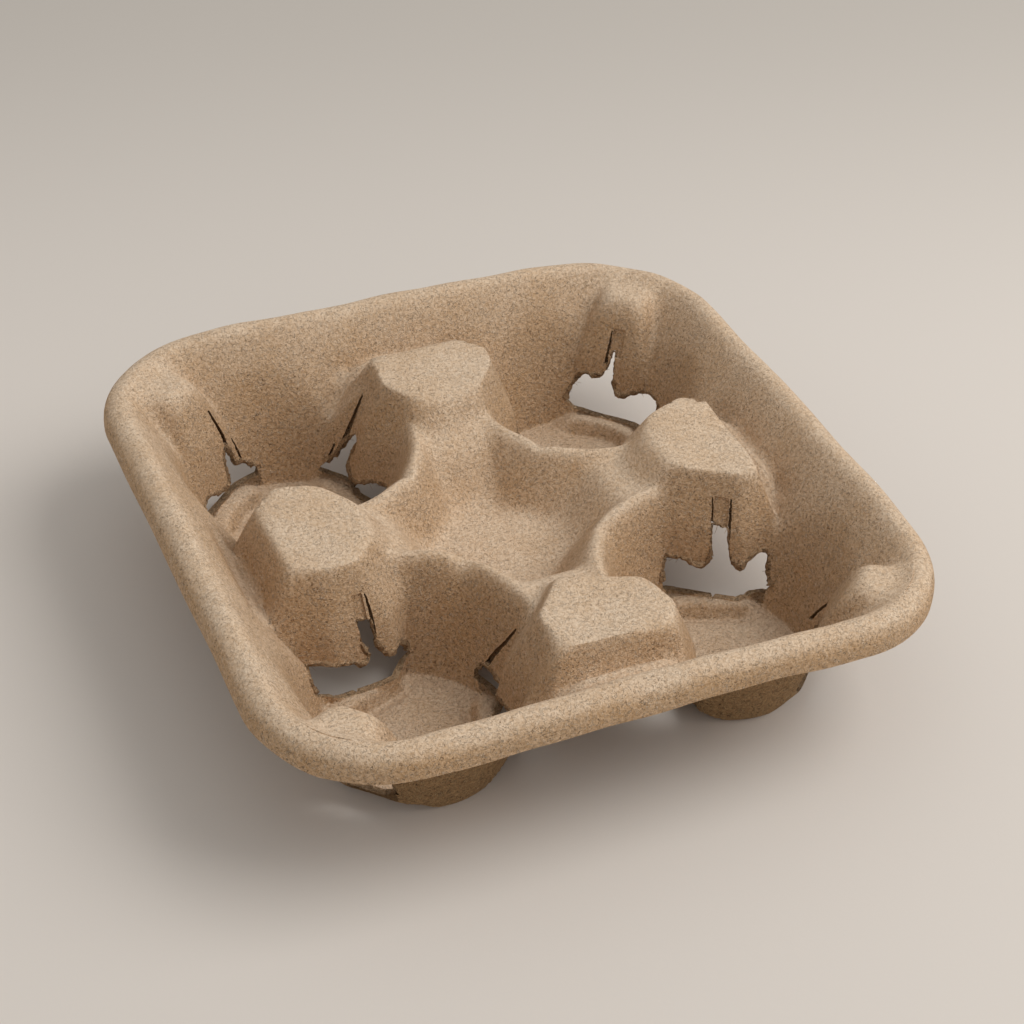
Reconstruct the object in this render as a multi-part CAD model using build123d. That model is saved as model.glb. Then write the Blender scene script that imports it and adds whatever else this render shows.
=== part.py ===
from build123d import *
import os
import numpy as np

# A four-cup carrier tray, moulded in one piece from grey-brown paper pulp.
# Millimetres. The origin is on the table under the middle of the tray, and +Z is up.
# The sheet has one thickness, so the upper surface is given as a height over the
# plan and the underside is that surface moved in by the sheet's thickness.

half_width = 108.0          # from the middle to the outer edge at mid-side
corner_radius = 40.0        # of the outline in plan
side_bow = 0.8              # how far the sides bulge at their middle
sheet = 2.2                 # thickness of the pulp

crest_height = 53.8         # top of the rolled rim at mid-side
crest_sag = 3.0             # how much lower it would be at a full half width
crest_inset = 6.0           # from the outer edge to the crest
roll_width = 5.6            # plan width of the rim's outer roll
roll_depth = 7.0            # depth of the ellipse that the roll follows
lip_drop = 3.9              # from the crest down to the flat lip
inner_slope = 1.55          # fall of the rim's inner wall, for each mm of plan

well_centre = 52.0          # each cup well stands this far out on x and y
floor_height = 2.2          # top of the well's floor
floor_radius = 15.0         # the plain disc in the middle of the floor
wall_foot_radius = 28.0     # the plain wall's radius at wall_foot_height
wall_foot_height = 4.0
wall_taper = 0.26           # the wall's radius grows by this for each mm of height
kerb_rise = 3.4             # ring that stands up from the floor under a window

ledge_height = 38.6         # groove between the rim's wall and the mounds
bulge_height = 48.0         # the ledge swells up to this behind each corner nose
ridge_height = 39.0         # saddle between neighbouring mounds, round the pocket
ridge_radius = 39.5         # where that saddle lies, from a well's centre
pocket_height = 25.0        # floor of the pocket in the middle of the tray
pocket_slope = 1.25

plate_height = 48.5         # flat top of the four mounds between the wells
plate_outer = 77.5          # plan places of the plate's corners, along the mound ...
plate_shoulder = 69.0
plate_inner = 51.0
plate_end = 49.0
plate_outer_width = 17.0    # ... and half widths across it at those places
plate_shoulder_width = 21.5
plate_inner_width = 9.0

# A nose pushes the wall in towards the cup: radius and height low down, radius and
# height at its shoulder, and how steeply the shoulder then leans back.
mound_nose = (23.0, 6.0, 24.5, 30.0, 2.5)
corner_nose = (25.5, 6.0, 30.0, 26.0, 2.8)
mound_turn = 115.0          # angle between the corner nose and each mound nose

window_half_width = 15.5    # the opening low in each nose
window_bottom = 7.0
window_top = 22.5
tab_place = 6.5             # two torn tabs hang down beside the notch
tab_width = 3.0
tab_drop = 3.0
notch_half_width = 2.6
notch_top = 34.0
slit_half_width = 0.6
slit_top = 42.0
window_inner_radius = 17.0  # the cutter's reach, from the well's centre
window_outer_radius = 45.0

rim_band = 22.0             # plan width of the rim with its inner wall
well_points = 20            # along a section, from the floor disc to the rim's foot
rim_points = 12             # and across the rim
turn_weight = 10.0          # a radian of bend takes as many points as this length
mid_side_sections = 16
rim_sections = 16


def soft_min(a, b, blend):
    share = np.clip(0.5 + 0.5 * (b - a) / blend, 0, 1)
    return b * (1 - share) + a * share - blend * share * (1 - share)


def soft_max(a, b, blend):
    return -soft_min(-a, -b, blend)


def smooth_step(x, start, end):
    t = np.clip((x - start) / (end - start), 0, 1)
    return t * t * (3 - 2 * t)


def bump(x, reach):
    t = np.clip(np.abs(x) / reach, 0, 1)
    return (1 - t * t) ** 2


def inset(x, y):
    """Distance in plan from the tray's outer edge, positive inside it."""
    a = np.abs(x) * (1 + side_bow * (y / half_width) ** 2 / half_width)
    b = np.abs(y) * (1 + side_bow * (x / half_width) ** 2 / half_width)
    over_x = a - (half_width - corner_radius)
    over_y = b - (half_width - corner_radius)
    round_part = np.hypot(np.maximum(over_x, 0), np.maximum(over_y, 0))
    return corner_radius - round_part - np.minimum(np.maximum(over_x, over_y), 0)


def mound(across, along):
    """A truncated pyramid between two wells, with a flat plate on top."""
    outer = plate_height - 1.1 * (along - plate_outer)
    side = plate_height - 1.1 * ((across - plate_outer_width) * 0.92 + (along - plate_outer) * 0.39)
    cheek = plate_height - 1.05 * ((across - plate_shoulder_width) * 0.90 - (along - plate_shoulder) * 0.44)
    back = plate_height - 0.95 * ((across - plate_inner_width) * 0.74 - (along - plate_inner) * 0.67)
    end = plate_height - 0.85 * (plate_end - along)
    faces = soft_min(soft_min(outer, side, 2.0), soft_min(cheek, back, 2.0), 2.0)
    return soft_min(soft_min(faces, end, 2.0), plate_height + 0 * across, 1.6)


def nose_shift(radius, nose):
    """How far the plain wall has to move in to follow a nose, at this radius."""
    low_radius, low_height, high_radius, high_height, lean = nose
    rise = (high_height - low_height) / (high_radius - low_radius)
    lower = low_height + rise * (radius - low_radius)
    upper = high_height + lean * (radius - high_radius)
    height = soft_min(lower, upper, 6.0)
    return wall_foot_radius + wall_taper * (height - wall_foot_height) - radius


def rim(depth, crest):
    fall = np.clip((crest_inset - depth) / roll_width, 0, 1)
    roll = crest - roll_depth * (1 - np.sqrt(1 - fall ** 2))
    return soft_max(roll, crest - lip_drop + 0.1 * depth, 1.0)


def upper(x, y):
    """Height of the tray's upper surface."""
    a, b = np.abs(x), np.abs(y)
    depth = inset(x, y)
    radius = np.hypot(a - well_centre, b - well_centre)
    angle = np.degrees(np.arctan2(b - well_centre, a - well_centre))
    turn = np.abs((angle - 45 + 180) % 360 - 180)
    at_corner = bump(turn, 36)

    crest = crest_height - crest_sag * (np.minimum(a, b) / half_width) ** 2
    run = np.maximum(depth - crest_inset, 0)
    wall = crest - inner_slope * (np.sqrt(run ** 2 + 12.25) - 3.5)
    swell = (bulge_height - ledge_height) * at_corner * smooth_step(radius, 18, 30)
    ledge = ledge_height + swell - 1.2 * at_corner * bump(depth - 10.5, 4)
    bowl = np.where(depth < crest_inset, rim(depth, crest), soft_max(wall, ledge, 2.0))

    saddle = ridge_height + 2.0 - pocket_slope * (radius - ridge_radius - 0.5)
    pocket = soft_max(saddle, pocket_height + 0 * radius, 7.0)
    near_rim = 1 - smooth_step(turn, 100, 125)
    body = soft_min(bowl, pocket + 60 * near_rim, 4.0)
    body = soft_max(body, np.maximum(mound(a, b), mound(b, a)), 3.5)

    at_mound = bump(turn - mound_turn, 40)
    shift = at_mound * nose_shift(radius, mound_nose) + bump(turn, 32) * nose_shift(radius, corner_nose)
    cone = wall_foot_height + (radius + shift - wall_foot_radius) / wall_taper
    at_window = np.maximum(bump(turn, 34), bump(turn - mound_turn, 36))
    kerb_radius = wall_foot_radius - 2.0 - 3.5 * at_mound - 0.5 * bump(turn, 32)
    floor = floor_height + kerb_rise * at_window * bump(radius - kerb_radius, 7.0)
    return soft_min(body, soft_max(cone, floor, 5.0), 5.0)


def ball_offsets():
    """Plan offsets inside a circle of the sheet's thickness, and their drop."""
    offsets = [(0.0, 0.0)]
    for radius in np.linspace(0, sheet, 7)[1:]:
        for angle in np.linspace(0, 2 * np.pi, 18, endpoint=False):
            offsets.append((radius * np.cos(angle), radius * np.sin(angle)))
    offsets = np.array(offsets)
    return offsets, np.sqrt(np.maximum(sheet ** 2 - (offsets ** 2).sum(1), 0))


OFFSETS, DROPS = ball_offsets()


def under(x, y):
    """Height of the underside: the lowest a ball on the upper surface reaches."""
    x_near = np.asarray(x)[..., None] + OFFSETS[:, 0]
    y_near = np.asarray(y)[..., None] + OFFSETS[:, 1]
    return (upper(x_near, y_near) - DROPS).min(-1)


def profile(start, end, count, surface):
    """Points along a surface over a straight line in plan, closer where it bends."""
    share = np.linspace(0, 1, 300)
    line = start + (end - start) * share[:, None]
    run = np.linalg.norm(np.diff(line, axis=0), axis=1)
    rise = np.diff(surface(line[:, 0], line[:, 1]))
    bend = np.abs(np.diff(np.arctan2(rise, run), append=0.0))
    bend[-1] = 0.0
    measure = np.concatenate([[0], np.cumsum(np.hypot(run, rise) + turn_weight * bend)])
    places = np.interp(np.linspace(0, measure[-1], count), measure, share)
    plan = start + (end - start) * places[:, None]
    height = surface(plan[:, 0], plan[:, 1])
    return [(float(x), float(y), float(z)) for (x, y), z in zip(plan, height)]


def section(start, end, count):
    """The sheet's cut face in the upright plane over a line in plan."""
    return Wire.make_polygon(profile(start, end, count, upper) + profile(start, end, count, under)[::-1])


def disc_point(end):
    """Where the line from the well's centre to a plan point leaves the floor disc."""
    centre = np.array([well_centre, well_centre])
    return centre + floor_radius * (end - centre) / np.linalg.norm(end - centre)


def at_depth(start, direction, depth):
    """The plan point on a line outwards where the inset has come down to a depth."""
    low, high = 0.0, half_width
    for _ in range(50):
        middle = (low + high) / 2
        if inset(*(start + middle * direction)) > depth:
            low = middle
        else:
            high = middle
    return start + high * direction


def outward(point):
    """The direction in plan that leads straight out to the tray's edge."""
    x, y = point
    slope = np.array([inset(x + 0.01, y) - inset(x - 0.01, y), inset(x, y + 0.01) - inset(x, y - 0.01)])
    return -slope / np.linalg.norm(slope)


def plan_points():
    """Where the sections end: up the middle of a side, along the rim's foot, and on the lip."""
    mid_side = [np.array([0.0, y]) for y in np.linspace(0, half_width - rim_band, mid_side_sections)]
    centre = np.array([well_centre, well_centre])
    first = np.arctan2(half_width - rim_band - well_centre, -well_centre)
    turns = np.linspace(first, np.pi / 4, rim_sections)[1:]
    rim_foot = [at_depth(centre, np.array([np.cos(turn), np.sin(turn)]), rim_band) for turn in turns]
    rim_foot = mid_side[-1:] + rim_foot
    return mid_side, rim_foot, [at_depth(point, outward(point), 0.0) for point in rim_foot]


def window(turn):
    """A cutter for one torn opening, with its notch and slit."""
    right = [
        (window_half_width, window_bottom),
        (window_half_width, window_top - 2.0),
        (window_half_width - 2.0, window_top),
        (tab_place + tab_width, window_top),
        (tab_place + 1.5, window_top - tab_drop),
        (tab_place - 2.0, window_top - tab_drop),
        (notch_half_width, window_top + 1.0),
        (notch_half_width, notch_top),
        (slit_half_width, notch_top + 1.5),
        (slit_half_width, slit_top),
    ]
    left = [(-s, z) for s, z in reversed(right)]
    angle = np.radians(45 + turn)
    across = Vector(-np.sin(angle), np.cos(angle), 0)
    outward = Vector(np.cos(angle), np.sin(angle), 0)
    start = Vector(well_centre, well_centre, 0) + outward * window_inner_radius
    outline = Wire.make_polygon([start + across * s + Vector(0, 0, z) for s, z in right + left])
    return Solid.extrude(Face(outline), outward * (window_outer_radius - window_inner_radius))


def is_seam(face):
    """Whether a face only closes a sector off, against its neighbour or the floor disc."""
    points = np.array([tuple(vertex) for vertex in face.vertices()])
    x, y = points[:, 0], points[:, 1]
    from_disc = np.hypot(x - well_centre, y - well_centre) - floor_radius
    from_band = inset(x, y) - rim_band
    rise = half_width - rim_band - well_centre
    from_ray = (x - well_centre) * rise + (y - well_centre) * well_centre
    return any(np.abs(gap).max() < 1e-3 for gap in (x, x - y, from_disc, from_band, from_ray))


def floor_disc(ends, height):
    """The flat face of the floor: it has a corner for each section round the well."""
    ends = ends + [end[::-1] for end in reversed(ends[1:-1])]
    return Face(Wire.make_polygon([(*map(float, disc_point(end)), height) for end in ends]))


def tray():
    mid_side, rim_foot, lip = plan_points()
    mound_side = [section(disc_point(end), end, well_points) for end in mid_side]
    corner_side = [section(disc_point(end), end, well_points) for end in rim_foot]
    rim_side = [section(start, end, rim_points) for start, end in zip(rim_foot, lip)]
    cutters = window(mound_turn), window(0.0)
    faces = []
    for sections in (mound_side, corner_side, rim_side):
        faces += Solid.make_loft(sections, ruled=True).cut(*cutters).faces()
    faces = [face for face in faces if not is_seam(face)]

    # one eighth of the tray, then its mirror images
    faces += [face.mirror(Plane((0, 0, 0), z_dir=(1, -1, 0))) for face in faces]
    for height in (floor_height - sheet, floor_height):
        faces.append(floor_disc(mid_side + rim_foot[1:], height))
    faces += [face.mirror(Plane.YZ) for face in faces]
    faces += [face.mirror(Plane.XZ) for face in faces]
    return Solid(Shell(faces))


os.makedirs("parts", exist_ok=True)
export_step(tray(), "parts/tray.step", write_pcurves=False)
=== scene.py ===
import math
import time

import bmesh
import bpy
import numpy as np
from mathutils import Matrix, Vector, noise


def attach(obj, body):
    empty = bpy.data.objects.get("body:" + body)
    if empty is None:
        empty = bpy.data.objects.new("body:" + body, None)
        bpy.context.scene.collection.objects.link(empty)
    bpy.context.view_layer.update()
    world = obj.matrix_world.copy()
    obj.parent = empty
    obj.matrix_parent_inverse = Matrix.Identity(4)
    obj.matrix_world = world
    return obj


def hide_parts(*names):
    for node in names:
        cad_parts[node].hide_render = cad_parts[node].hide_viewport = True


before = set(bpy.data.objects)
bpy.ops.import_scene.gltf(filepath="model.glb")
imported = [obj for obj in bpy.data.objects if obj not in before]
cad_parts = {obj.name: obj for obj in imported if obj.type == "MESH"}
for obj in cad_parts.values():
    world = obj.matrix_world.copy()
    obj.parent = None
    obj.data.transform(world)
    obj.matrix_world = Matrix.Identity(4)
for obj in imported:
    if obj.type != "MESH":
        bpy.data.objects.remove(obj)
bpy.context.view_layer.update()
started = time.time()
mm = 0.001               # the tray's form is worked out in millimetres
noise.seed_set(11)       # without it the vector noise would differ from run to run


def report(stage):
    print(f"{time.time() - started:6.1f} s  {stage}")


def addObject(name, data):
    thing = bpy.data.objects.new(name, data)
    bpy.context.scene.collection.objects.link(thing)
    return thing


# Camera: it looks down on the tray's front left corner
cameraView = {
    "turn": -26.12,          # degrees about +Z, 0 looks along +Y
    "lift": 38.03,
    "roll": 3.54,
    "distance": 0.6681,
    "target": (0.0055, 0.0048, 0.030),
    "lens": 73.69,
}


def placeCamera():
    turn, lift, roll = (math.radians(cameraView[key]) for key in ("turn", "lift", "roll"))
    target = Vector(cameraView["target"])
    back = Vector((math.sin(turn) * math.cos(lift), -math.cos(turn) * math.cos(lift), math.sin(lift)))
    right = Vector((math.cos(turn), math.sin(turn), 0))
    up = back.cross(right)
    rolledRight = right * math.cos(roll) + up * math.sin(roll)
    rolledUp = up * math.cos(roll) - right * math.sin(roll)
    data = bpy.data.cameras.new("viewCamera")
    data.lens = cameraView["lens"]
    data.sensor_width = 36
    data.clip_end = 20
    camera = addObject("viewCamera", data)
    turned = Matrix((rolledRight, rolledUp, back)).transposed().to_4x4()
    camera.matrix_world = Matrix.Translation(target + back * cameraView["distance"]) @ turned
    bpy.context.scene.camera = camera


placeCamera()


# Form of the moulded sheet, in millimetres: heights of its upper face over the plan
rimForm = {
    "halfWidth": 108.0,
    "cornerRadius": 40.0,
    "sideBow": 0.8,
    "sheet": 2.2,
    "crestHeight": 53.8,
    "crestSag": 3.0,         # the rim stands lower at its corners
    "crestInset": 6.0,
    "crestRound": 3.5,       # rounding from the crest into the inner wall
    "rollDepth": 7.0,
    "innerSlope": 1.55,
    "lipRun": 5.0,           # the sheet thins out over this inset, towards the lip
}


def softMin(a, b, blend):
    share = np.clip(0.5 + 0.5 * (b - a) / blend, 0, 1)
    return b * (1 - share) + a * share - blend * share * (1 - share)


def softMax(a, b, blend):
    return -softMin(-a, -b, blend)


def smoothStep(x, start, end):
    t = np.clip((x - start) / (end - start), 0, 1)
    return t * t * (3 - 2 * t)


def bump(x, reach):
    t = np.clip(np.abs(x) / reach, 0, 1)
    return (1 - t * t) ** 2


def insetFrom(x, y):
    half, corner, bow = rimForm["halfWidth"], rimForm["cornerRadius"], rimForm["sideBow"]
    overX = np.abs(x) * (1 + bow * (y / half) ** 2 / half) - (half - corner)
    overY = np.abs(y) * (1 + bow * (x / half) ** 2 / half) - (half - corner)
    outside = np.hypot(np.maximum(overX, 0), np.maximum(overY, 0))
    return corner - outside - np.minimum(np.maximum(overX, overY), 0)


# Mounds between the wells, and the smaller swellings in the tray's corners
moundForm = {
    "plateHeight": 48.5,
    "outerSlope": 2.4,       # of the face towards the rim
    "outerFacing": 0.85,     # a face that looks outwards by more than this is the outer one
    "wellSlope": 2.6,        # of the faces over the wells, down to the bend
    "endSlope": 1.2,         # of the face towards the middle pocket
    "endFacing": (-0.95, -0.5),
    "bendHeight": 28.0,
    "bendRound": 6.0,
    "footSlope": 8.0,
    "edge": 1.8,
    "corner": 4.5,           # rounding between two side faces
    "crease": 1.6,           # rounding at the mound's foot, softer around the bend
    "softCrease": 3.4,
    "creaseReach": 16.0,
    # direction from the tray's middle, and the plate's corners, no two plates being alike
    "plates": [
        ((1, 0), [(79.5, 16.5), (71.5, 20.5), (58, 16), (51, 5), (53, -12.5), (70, -24.5),
                  (76.5, -23.5), (78.5, -17)]),
        ((0, 1), [(17, 78), (-15.5, 76.5), (-17.5, 61.5), (-12.5, 52), (-5, 47), (12.5, 49.5), (21, 60.5),
                  (22.8, 70)]),
        ((-1, 0), [(-77.5, 13), (-77, -18), (-67.5, -22.5), (-58, -21.5), (-48.5, -12), (-47, 4),
                   (-55.5, 17), (-69, 21)]),
        ((0, -1), [(-17.5, -78), (18.5, -80), (22.5, -71), (18.5, -58), (7, -52), (-5, -49),
                   (-17.5, -62.5)]),
    ],
}
swellingForm = {
    "height": 49.0,
    "edge": 10.0,
    "blend": 5.0,
    "rimShare": 1.2,         # it starts at this share of the crest's inset
    # corners as (to the side, outwards), from the well's middle
    "plate": [(7, 38), (-7, 38), (-14, 60), (14, 60)],
}


def moundHeight(x, y, direction, corners, top, edge):
    m = moundForm
    sides = 999.0 + 0 * x        # above every face
    for here, after in zip(corners, corners[1:] + corners[:1]):
        run = math.dist(here, after)
        normal = ((after[1] - here[1]) / run, (here[0] - after[0]) / run)
        beyond = (x - here[0]) * normal[0] + (y - here[1]) * normal[1]
        outward = normal[0] * direction[0] + normal[1] * direction[1]
        share = smoothStep(outward, *m["endFacing"])
        slope = m["endSlope"] * (1 - share) + m["wellSlope"] * share
        if outward > m["outerFacing"]:
            slope = m["outerSlope"]
        upper = top - slope * beyond
        toBend = (top - m["bendHeight"]) / slope
        lower = m["bendHeight"] - m["footSlope"] * (beyond - toBend)
        sides = softMin(sides, softMin(upper, lower, m["bendRound"]), max(edge, m["corner"]))
    return softMin(top + 0 * x, sides, edge)


def allMounds(x, y):
    m = moundForm
    heights = [moundHeight(x, y, direction, corners, m["plateHeight"], m["edge"])
               for direction, corners in m["plates"]]
    return np.max(heights, axis=0)


def cornerSwelling(a, b, depth):
    # a and b are the distances from the tray's two middle lines
    half = math.sqrt(0.5)
    centre = wellForm["centre"]
    corners = [(centre + half * (out - side), centre + half * (out + side))
               for side, out in swellingForm["plate"]]
    height = moundHeight(a, b, (0, 0), corners, swellingForm["height"], swellingForm["edge"])
    return np.where(depth > swellingForm["rimShare"] * rimForm["crestInset"], height, 0.0)


def rimRoll(depth, crest):
    fall = np.clip(1 - depth / rimForm["crestInset"], 0, 1)
    return crest - rimForm["rollDepth"] * (1 - np.sqrt(1 - fall ** 2))


# Shelf between a mound and the rim, with its grooves
shelfForm = {
    "height": 40.4,
    "fall": 23.0,            # it runs down into the wells' walls
    "fallRun": (18, 44),     # from the tray's middle line
    "narrowing": 6.0,        # how much narrower it is near the rim
    "narrowRun": (60, 85),
    "leftValley": 11.0,      # the shelf beside the left mound lies lower
    "valleySides": (25, 40),
    "valleyStart": (60, 78),
    "blend": 2.0,
    "grooves": ((25.4, 2.4), (19.6, 2.6)),     # inset from the rim, and half width
    "grooveDepth": 2.1,
    "grooveRun": (16, 30),
}


def rimAndShelf(x, y, depth):
    s = shelfForm
    a, b = np.abs(x), np.abs(y)
    crest = rimForm["crestHeight"] - rimForm["crestSag"] * (np.minimum(a, b) / rimForm["halfWidth"]) ** 2
    run = np.maximum(depth - rimForm["crestInset"], 0)
    rounding = rimForm["crestRound"]
    wall = crest - rimForm["innerSlope"] * (np.sqrt(run ** 2 + rounding ** 2) - rounding)
    across = np.minimum(a, b) + s["narrowing"] * smoothStep(np.maximum(a, b), *s["narrowRun"])
    shelf = s["height"] - s["fall"] * smoothStep(across, *s["fallRun"])
    valley = (1 - smoothStep(b, *s["valleySides"])) * smoothStep(-x, *s["valleyStart"])
    shelf = shelf - s["leftValley"] * valley
    inner = softMax(wall, shelf, s["blend"])
    height = np.where(depth < rimForm["crestInset"], rimRoll(depth, crest), inner)
    besideMound = 1 - smoothStep(np.minimum(a, b), *s["grooveRun"])
    for inset, reach in s["grooves"]:
        height = height - besideMound * s["grooveDepth"] * bump(depth - inset, reach)
    return height


# Pocket in the tray's middle, with the ridge round it
pocketForm = {
    "height": 19.5,
    "slope": 1.8,
    "reach": 22.0,           # from the tray's middle towards a mound, before the floor rises
    "rise": 1.3,
    "riseBelowRidge": 0.5,
    "riseBlend": 5.0,
    "edge": 4.5,
    "ridgeHeight": 39.0,
    "ridgeRadius": 39.5,     # from a well's middle
    "crown": 2.0,            # the slope's line meets the ridge this much above it
    "crownShift": 2.5,
    "turns": (100, 125),     # degrees from the tray's corner, about a well, where the pocket starts
    "blend": 4.0,
}


def middlePocket(a, b, radius):
    p = pocketForm
    saddle = p["ridgeHeight"] + p["crown"] - p["slope"] * (radius - p["ridgeRadius"] - p["crownShift"])
    rise = p["height"] + p["rise"] * (np.maximum(a, b) - p["reach"])
    rise = softMin(rise, p["ridgeHeight"] - p["riseBelowRidge"], p["riseBlend"])
    return softMax(saddle, softMax(p["height"] + 0 * radius, rise, p["edge"]), p["edge"])


# Cup wells, with a kerb on the floor under each window
wellForm = {
    "centre": 52.0,
    "floorHeight": 2.2,
    "footRadius": 28.0,
    "footHeight": 4.0,
    "footBlend": 2.4,
    "taper": 0.26,           # the wall's radius grows by this for each millimetre of height
    "moundTurn": 115.0,      # degrees from the tray's corner to the window under a mound
    "edgeBlend": 5.5,        # how softly the wall's top rounds over beside the mounds
    "edgeByCorner": 12.0,
    "cornerTurns": (70, 96),
    "edgeByPocket": 12.0,
    "pocketTurns": (125, 150),
}
kerbForm = {
    "inset": 2.5,            # its outer edge, from the radius of the wall's foot
    "mounds": (3.5, 44),     # how much further in under the mounds, and over how many degrees
    "corner": (0.5, 32),
    "rise": 3.7,
    "width": 6.5,
    "edge": 3.8,             # width of the step from the floor up to the kerb
    "outerFall": 0.15,       # share of the rise that the kerb's outer half falls by
    "fallRun": (3, 7),
    "groove": 1.2,
    "grooveShift": 0.6,
    "grooveReach": 3.0,
    "cornerEnds": (24, 42),  # degrees from the window's middle where the kerb runs out
    "moundEnds": (26, 44),
}


def kerbRadiusAt(turn):
    byMounds, moundReach = kerbForm["mounds"]
    byCorner, cornerReach = kerbForm["corner"]
    atMound = bump(turn - wellForm["moundTurn"], moundReach)
    atCorner = bump(turn, cornerReach)
    return wellForm["footRadius"] - kerbForm["inset"] - byMounds * atMound - byCorner * atCorner


def floorAndKerb(radius, turn):
    k = kerbForm
    atCorner = 1 - smoothStep(turn, *k["cornerEnds"])
    atMound = 1 - smoothStep(np.abs(turn - wellForm["moundTurn"]), *k["moundEnds"])
    fromKerb = radius - kerbRadiusAt(turn) + k["width"] / 2
    kerb = smoothStep(fromKerb, -k["edge"] / 2, k["edge"] / 2)
    kerb = kerb - k["outerFall"] * smoothStep(fromKerb, *k["fallRun"])
    groove = k["groove"] * bump(fromKerb + k["edge"] / 2 + k["grooveShift"], k["grooveReach"])
    return wellForm["floorHeight"] + np.maximum(atCorner, atMound) * (k["rise"] * kerb - groove)


def idealHeight(x, y):
    w = wellForm
    a, b = np.abs(x), np.abs(y)
    depth = insetFrom(x, y)
    radius = np.hypot(a - w["centre"], b - w["centre"])
    angle = np.degrees(np.arctan2(b - w["centre"], a - w["centre"]))
    turn = np.abs((angle - 45 + 180) % 360 - 180)        # 0 towards the tray's corner
    nearRim = 1 - smoothStep(turn, *pocketForm["turns"])
    pocket = middlePocket(a, b, radius) + 60 * nearRim   # lifted out of the way near the rim
    body = softMin(rimAndShelf(x, y, depth), pocket, pocketForm["blend"])
    cone = w["footHeight"] + (radius - w["footRadius"]) / w["taper"]
    well = softMax(cone, floorAndKerb(radius, turn), w["footBlend"])
    byCorner = 1 - smoothStep(turn, *w["cornerTurns"])
    byPocket = smoothStep(turn, *w["pocketTurns"])
    blend = w["edgeBlend"] + (w["edgeByCorner"] - w["edgeBlend"]) * byCorner
    blend = blend + (w["edgeByPocket"] - w["edgeBlend"]) * byPocket
    base = softMin(body, well, blend)
    base = softMax(base, cornerSwelling(a, b, depth), swellingForm["blend"])
    mounds = allMounds(x, y)
    soft = moundForm["softCrease"] * bump(mounds - moundForm["bendHeight"], moundForm["creaseReach"])
    return softMax(base, mounds, moundForm["crease"] + soft)


# What this one tray adds to the ideal form: leaning wells and waves
oddForm = {
    "wellLean": (2.6, -0.4),      # the wells' lower parts stand a little to the right
    "leanReach": 46.0,
    "wave": 0.35,
    "waveHeights": (6, 16),       # the waves set in between these heights, so that the floors stay flat
}


def leaned(x, y, way=1):
    # where a point of the ideal form stands in this tray, or with -1 the other way round
    radius = np.hypot(np.abs(x) - wellForm["centre"], np.abs(y) - wellForm["centre"])
    share = way * bump(radius, oddForm["leanReach"])
    return x + share * oddForm["wellLean"][0], y + share * oddForm["wellLean"][1]


def waves(x, y):
    # slow unevenness of the moulding, under a millimetre
    return (np.sin(x / 9.1 + 1.3) * np.sin(y / 7.7 + 0.4) + np.sin(x / 4.3 - y / 6.1) * 0.5
            + np.sin((x + 1.7 * y) / 15.0) * 0.9) * oddForm["wave"]


def trayHeight(x, y):
    height = idealHeight(*leaned(x, y, -1))
    return height + waves(x, y) * smoothStep(height, *oddForm["waveHeights"])


# Rings of places on a ball as large as the sheet is thick: share of its radius, and count
ballRings = ((0.45, 6), (0.75, 10), (0.93, 14), (1.0, 16))


def underHeight(x, y):
    # the underside is the upper face worn down by that ball
    sheet = rimForm["sheet"]
    lowest = trayHeight(x, y) - sheet
    for share, count in ballRings:
        drop = sheet * math.sqrt(1 - share ** 2)
        for turn in np.arange(count) * 2 * math.pi / count:
            dx, dy = sheet * share * math.cos(turn), sheet * share * math.sin(turn)
            lowest = np.minimum(lowest, trayHeight(x + dx, y + dy) - drop)
    return np.maximum(lowest, 0.0)


# Net of points over the plan: a fan of rays in each well and a band along the rim
netForm = {
    "raysToRim": 39,         # in half a fan, from the corner's direction to the rim wall's end
    "raysToSeam": 31,        # in half a fan, along the seam between two wells
    "stations": 38,
    "rimStations": 22,
    "hub": 4.0,
    "foot": 22.0,            # inset where the rim band starts
    "footByMound": 32.0,     # deeper beside the mounds, so that it holds their outer faces
    "moundRun": (24, 38),
    "windowAngles": (45, 160),     # rays and stations are denser where there is more to show
    "windowReach": 34,
    "windowWeight": 0.7,
    "planWeight": 0.55,
    "climbWeight": 0.8,
    "bendWeight": 9.0,
    "rimBendWeight": 3.0,
    "weld": 0.002,           # points nearer than this are one
    "rimStep": 0.01,         # steps over which slopes are measured
    "sheetStep": 0.15,
}


def aroundWell(well, radius, angle):
    # plan place at a radius and an angle in degrees about a well's middle
    turn = np.radians(angle)
    return (well[0] * wellForm["centre"] + radius * np.cos(turn),
            well[1] * wellForm["centre"] + radius * np.sin(turn))


def denserAngles(start, end, count):
    # angles from start to end, closer together where the windows are
    fine = np.linspace(start, end, 400)
    weight = np.ones_like(fine)
    for angle in netForm["windowAngles"]:
        weight = weight + netForm["windowWeight"] * bump(fine - angle, netForm["windowReach"])
    return atEvenSteps([(weight[1:] + weight[:-1]) / 2], [fine], count)[0]


def footAt(x, y):
    share = 1 - smoothStep(np.minimum(np.abs(x), np.abs(y)), *netForm["moundRun"])
    return netForm["foot"] + (netForm["footByMound"] - netForm["foot"]) * share


def rayEnds(angles):
    # distance along each ray to the rim band's foot or to the seam x = 0, found by halving
    near, far = np.zeros_like(angles), np.full_like(angles, 90.0)
    for _ in range(50):
        middle = (near + far) / 2
        x, y = aroundWell((1, 1), middle, angles)
        within = (insetFrom(x, y) > footAt(x, y)) & (x > 0)
        near, far = np.where(within, middle, near), np.where(within, far, middle)
    return near


def atEvenSteps(weight, values, count):
    # along each row, the values at even steps of the weights added up
    rows = []
    for rowWeight, line in zip(weight, values):
        total = np.concatenate(([0], np.cumsum(rowWeight)))
        rows.append(np.interp(np.linspace(0, total[-1], count + 1), total, line))
    return np.array(rows)


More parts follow.
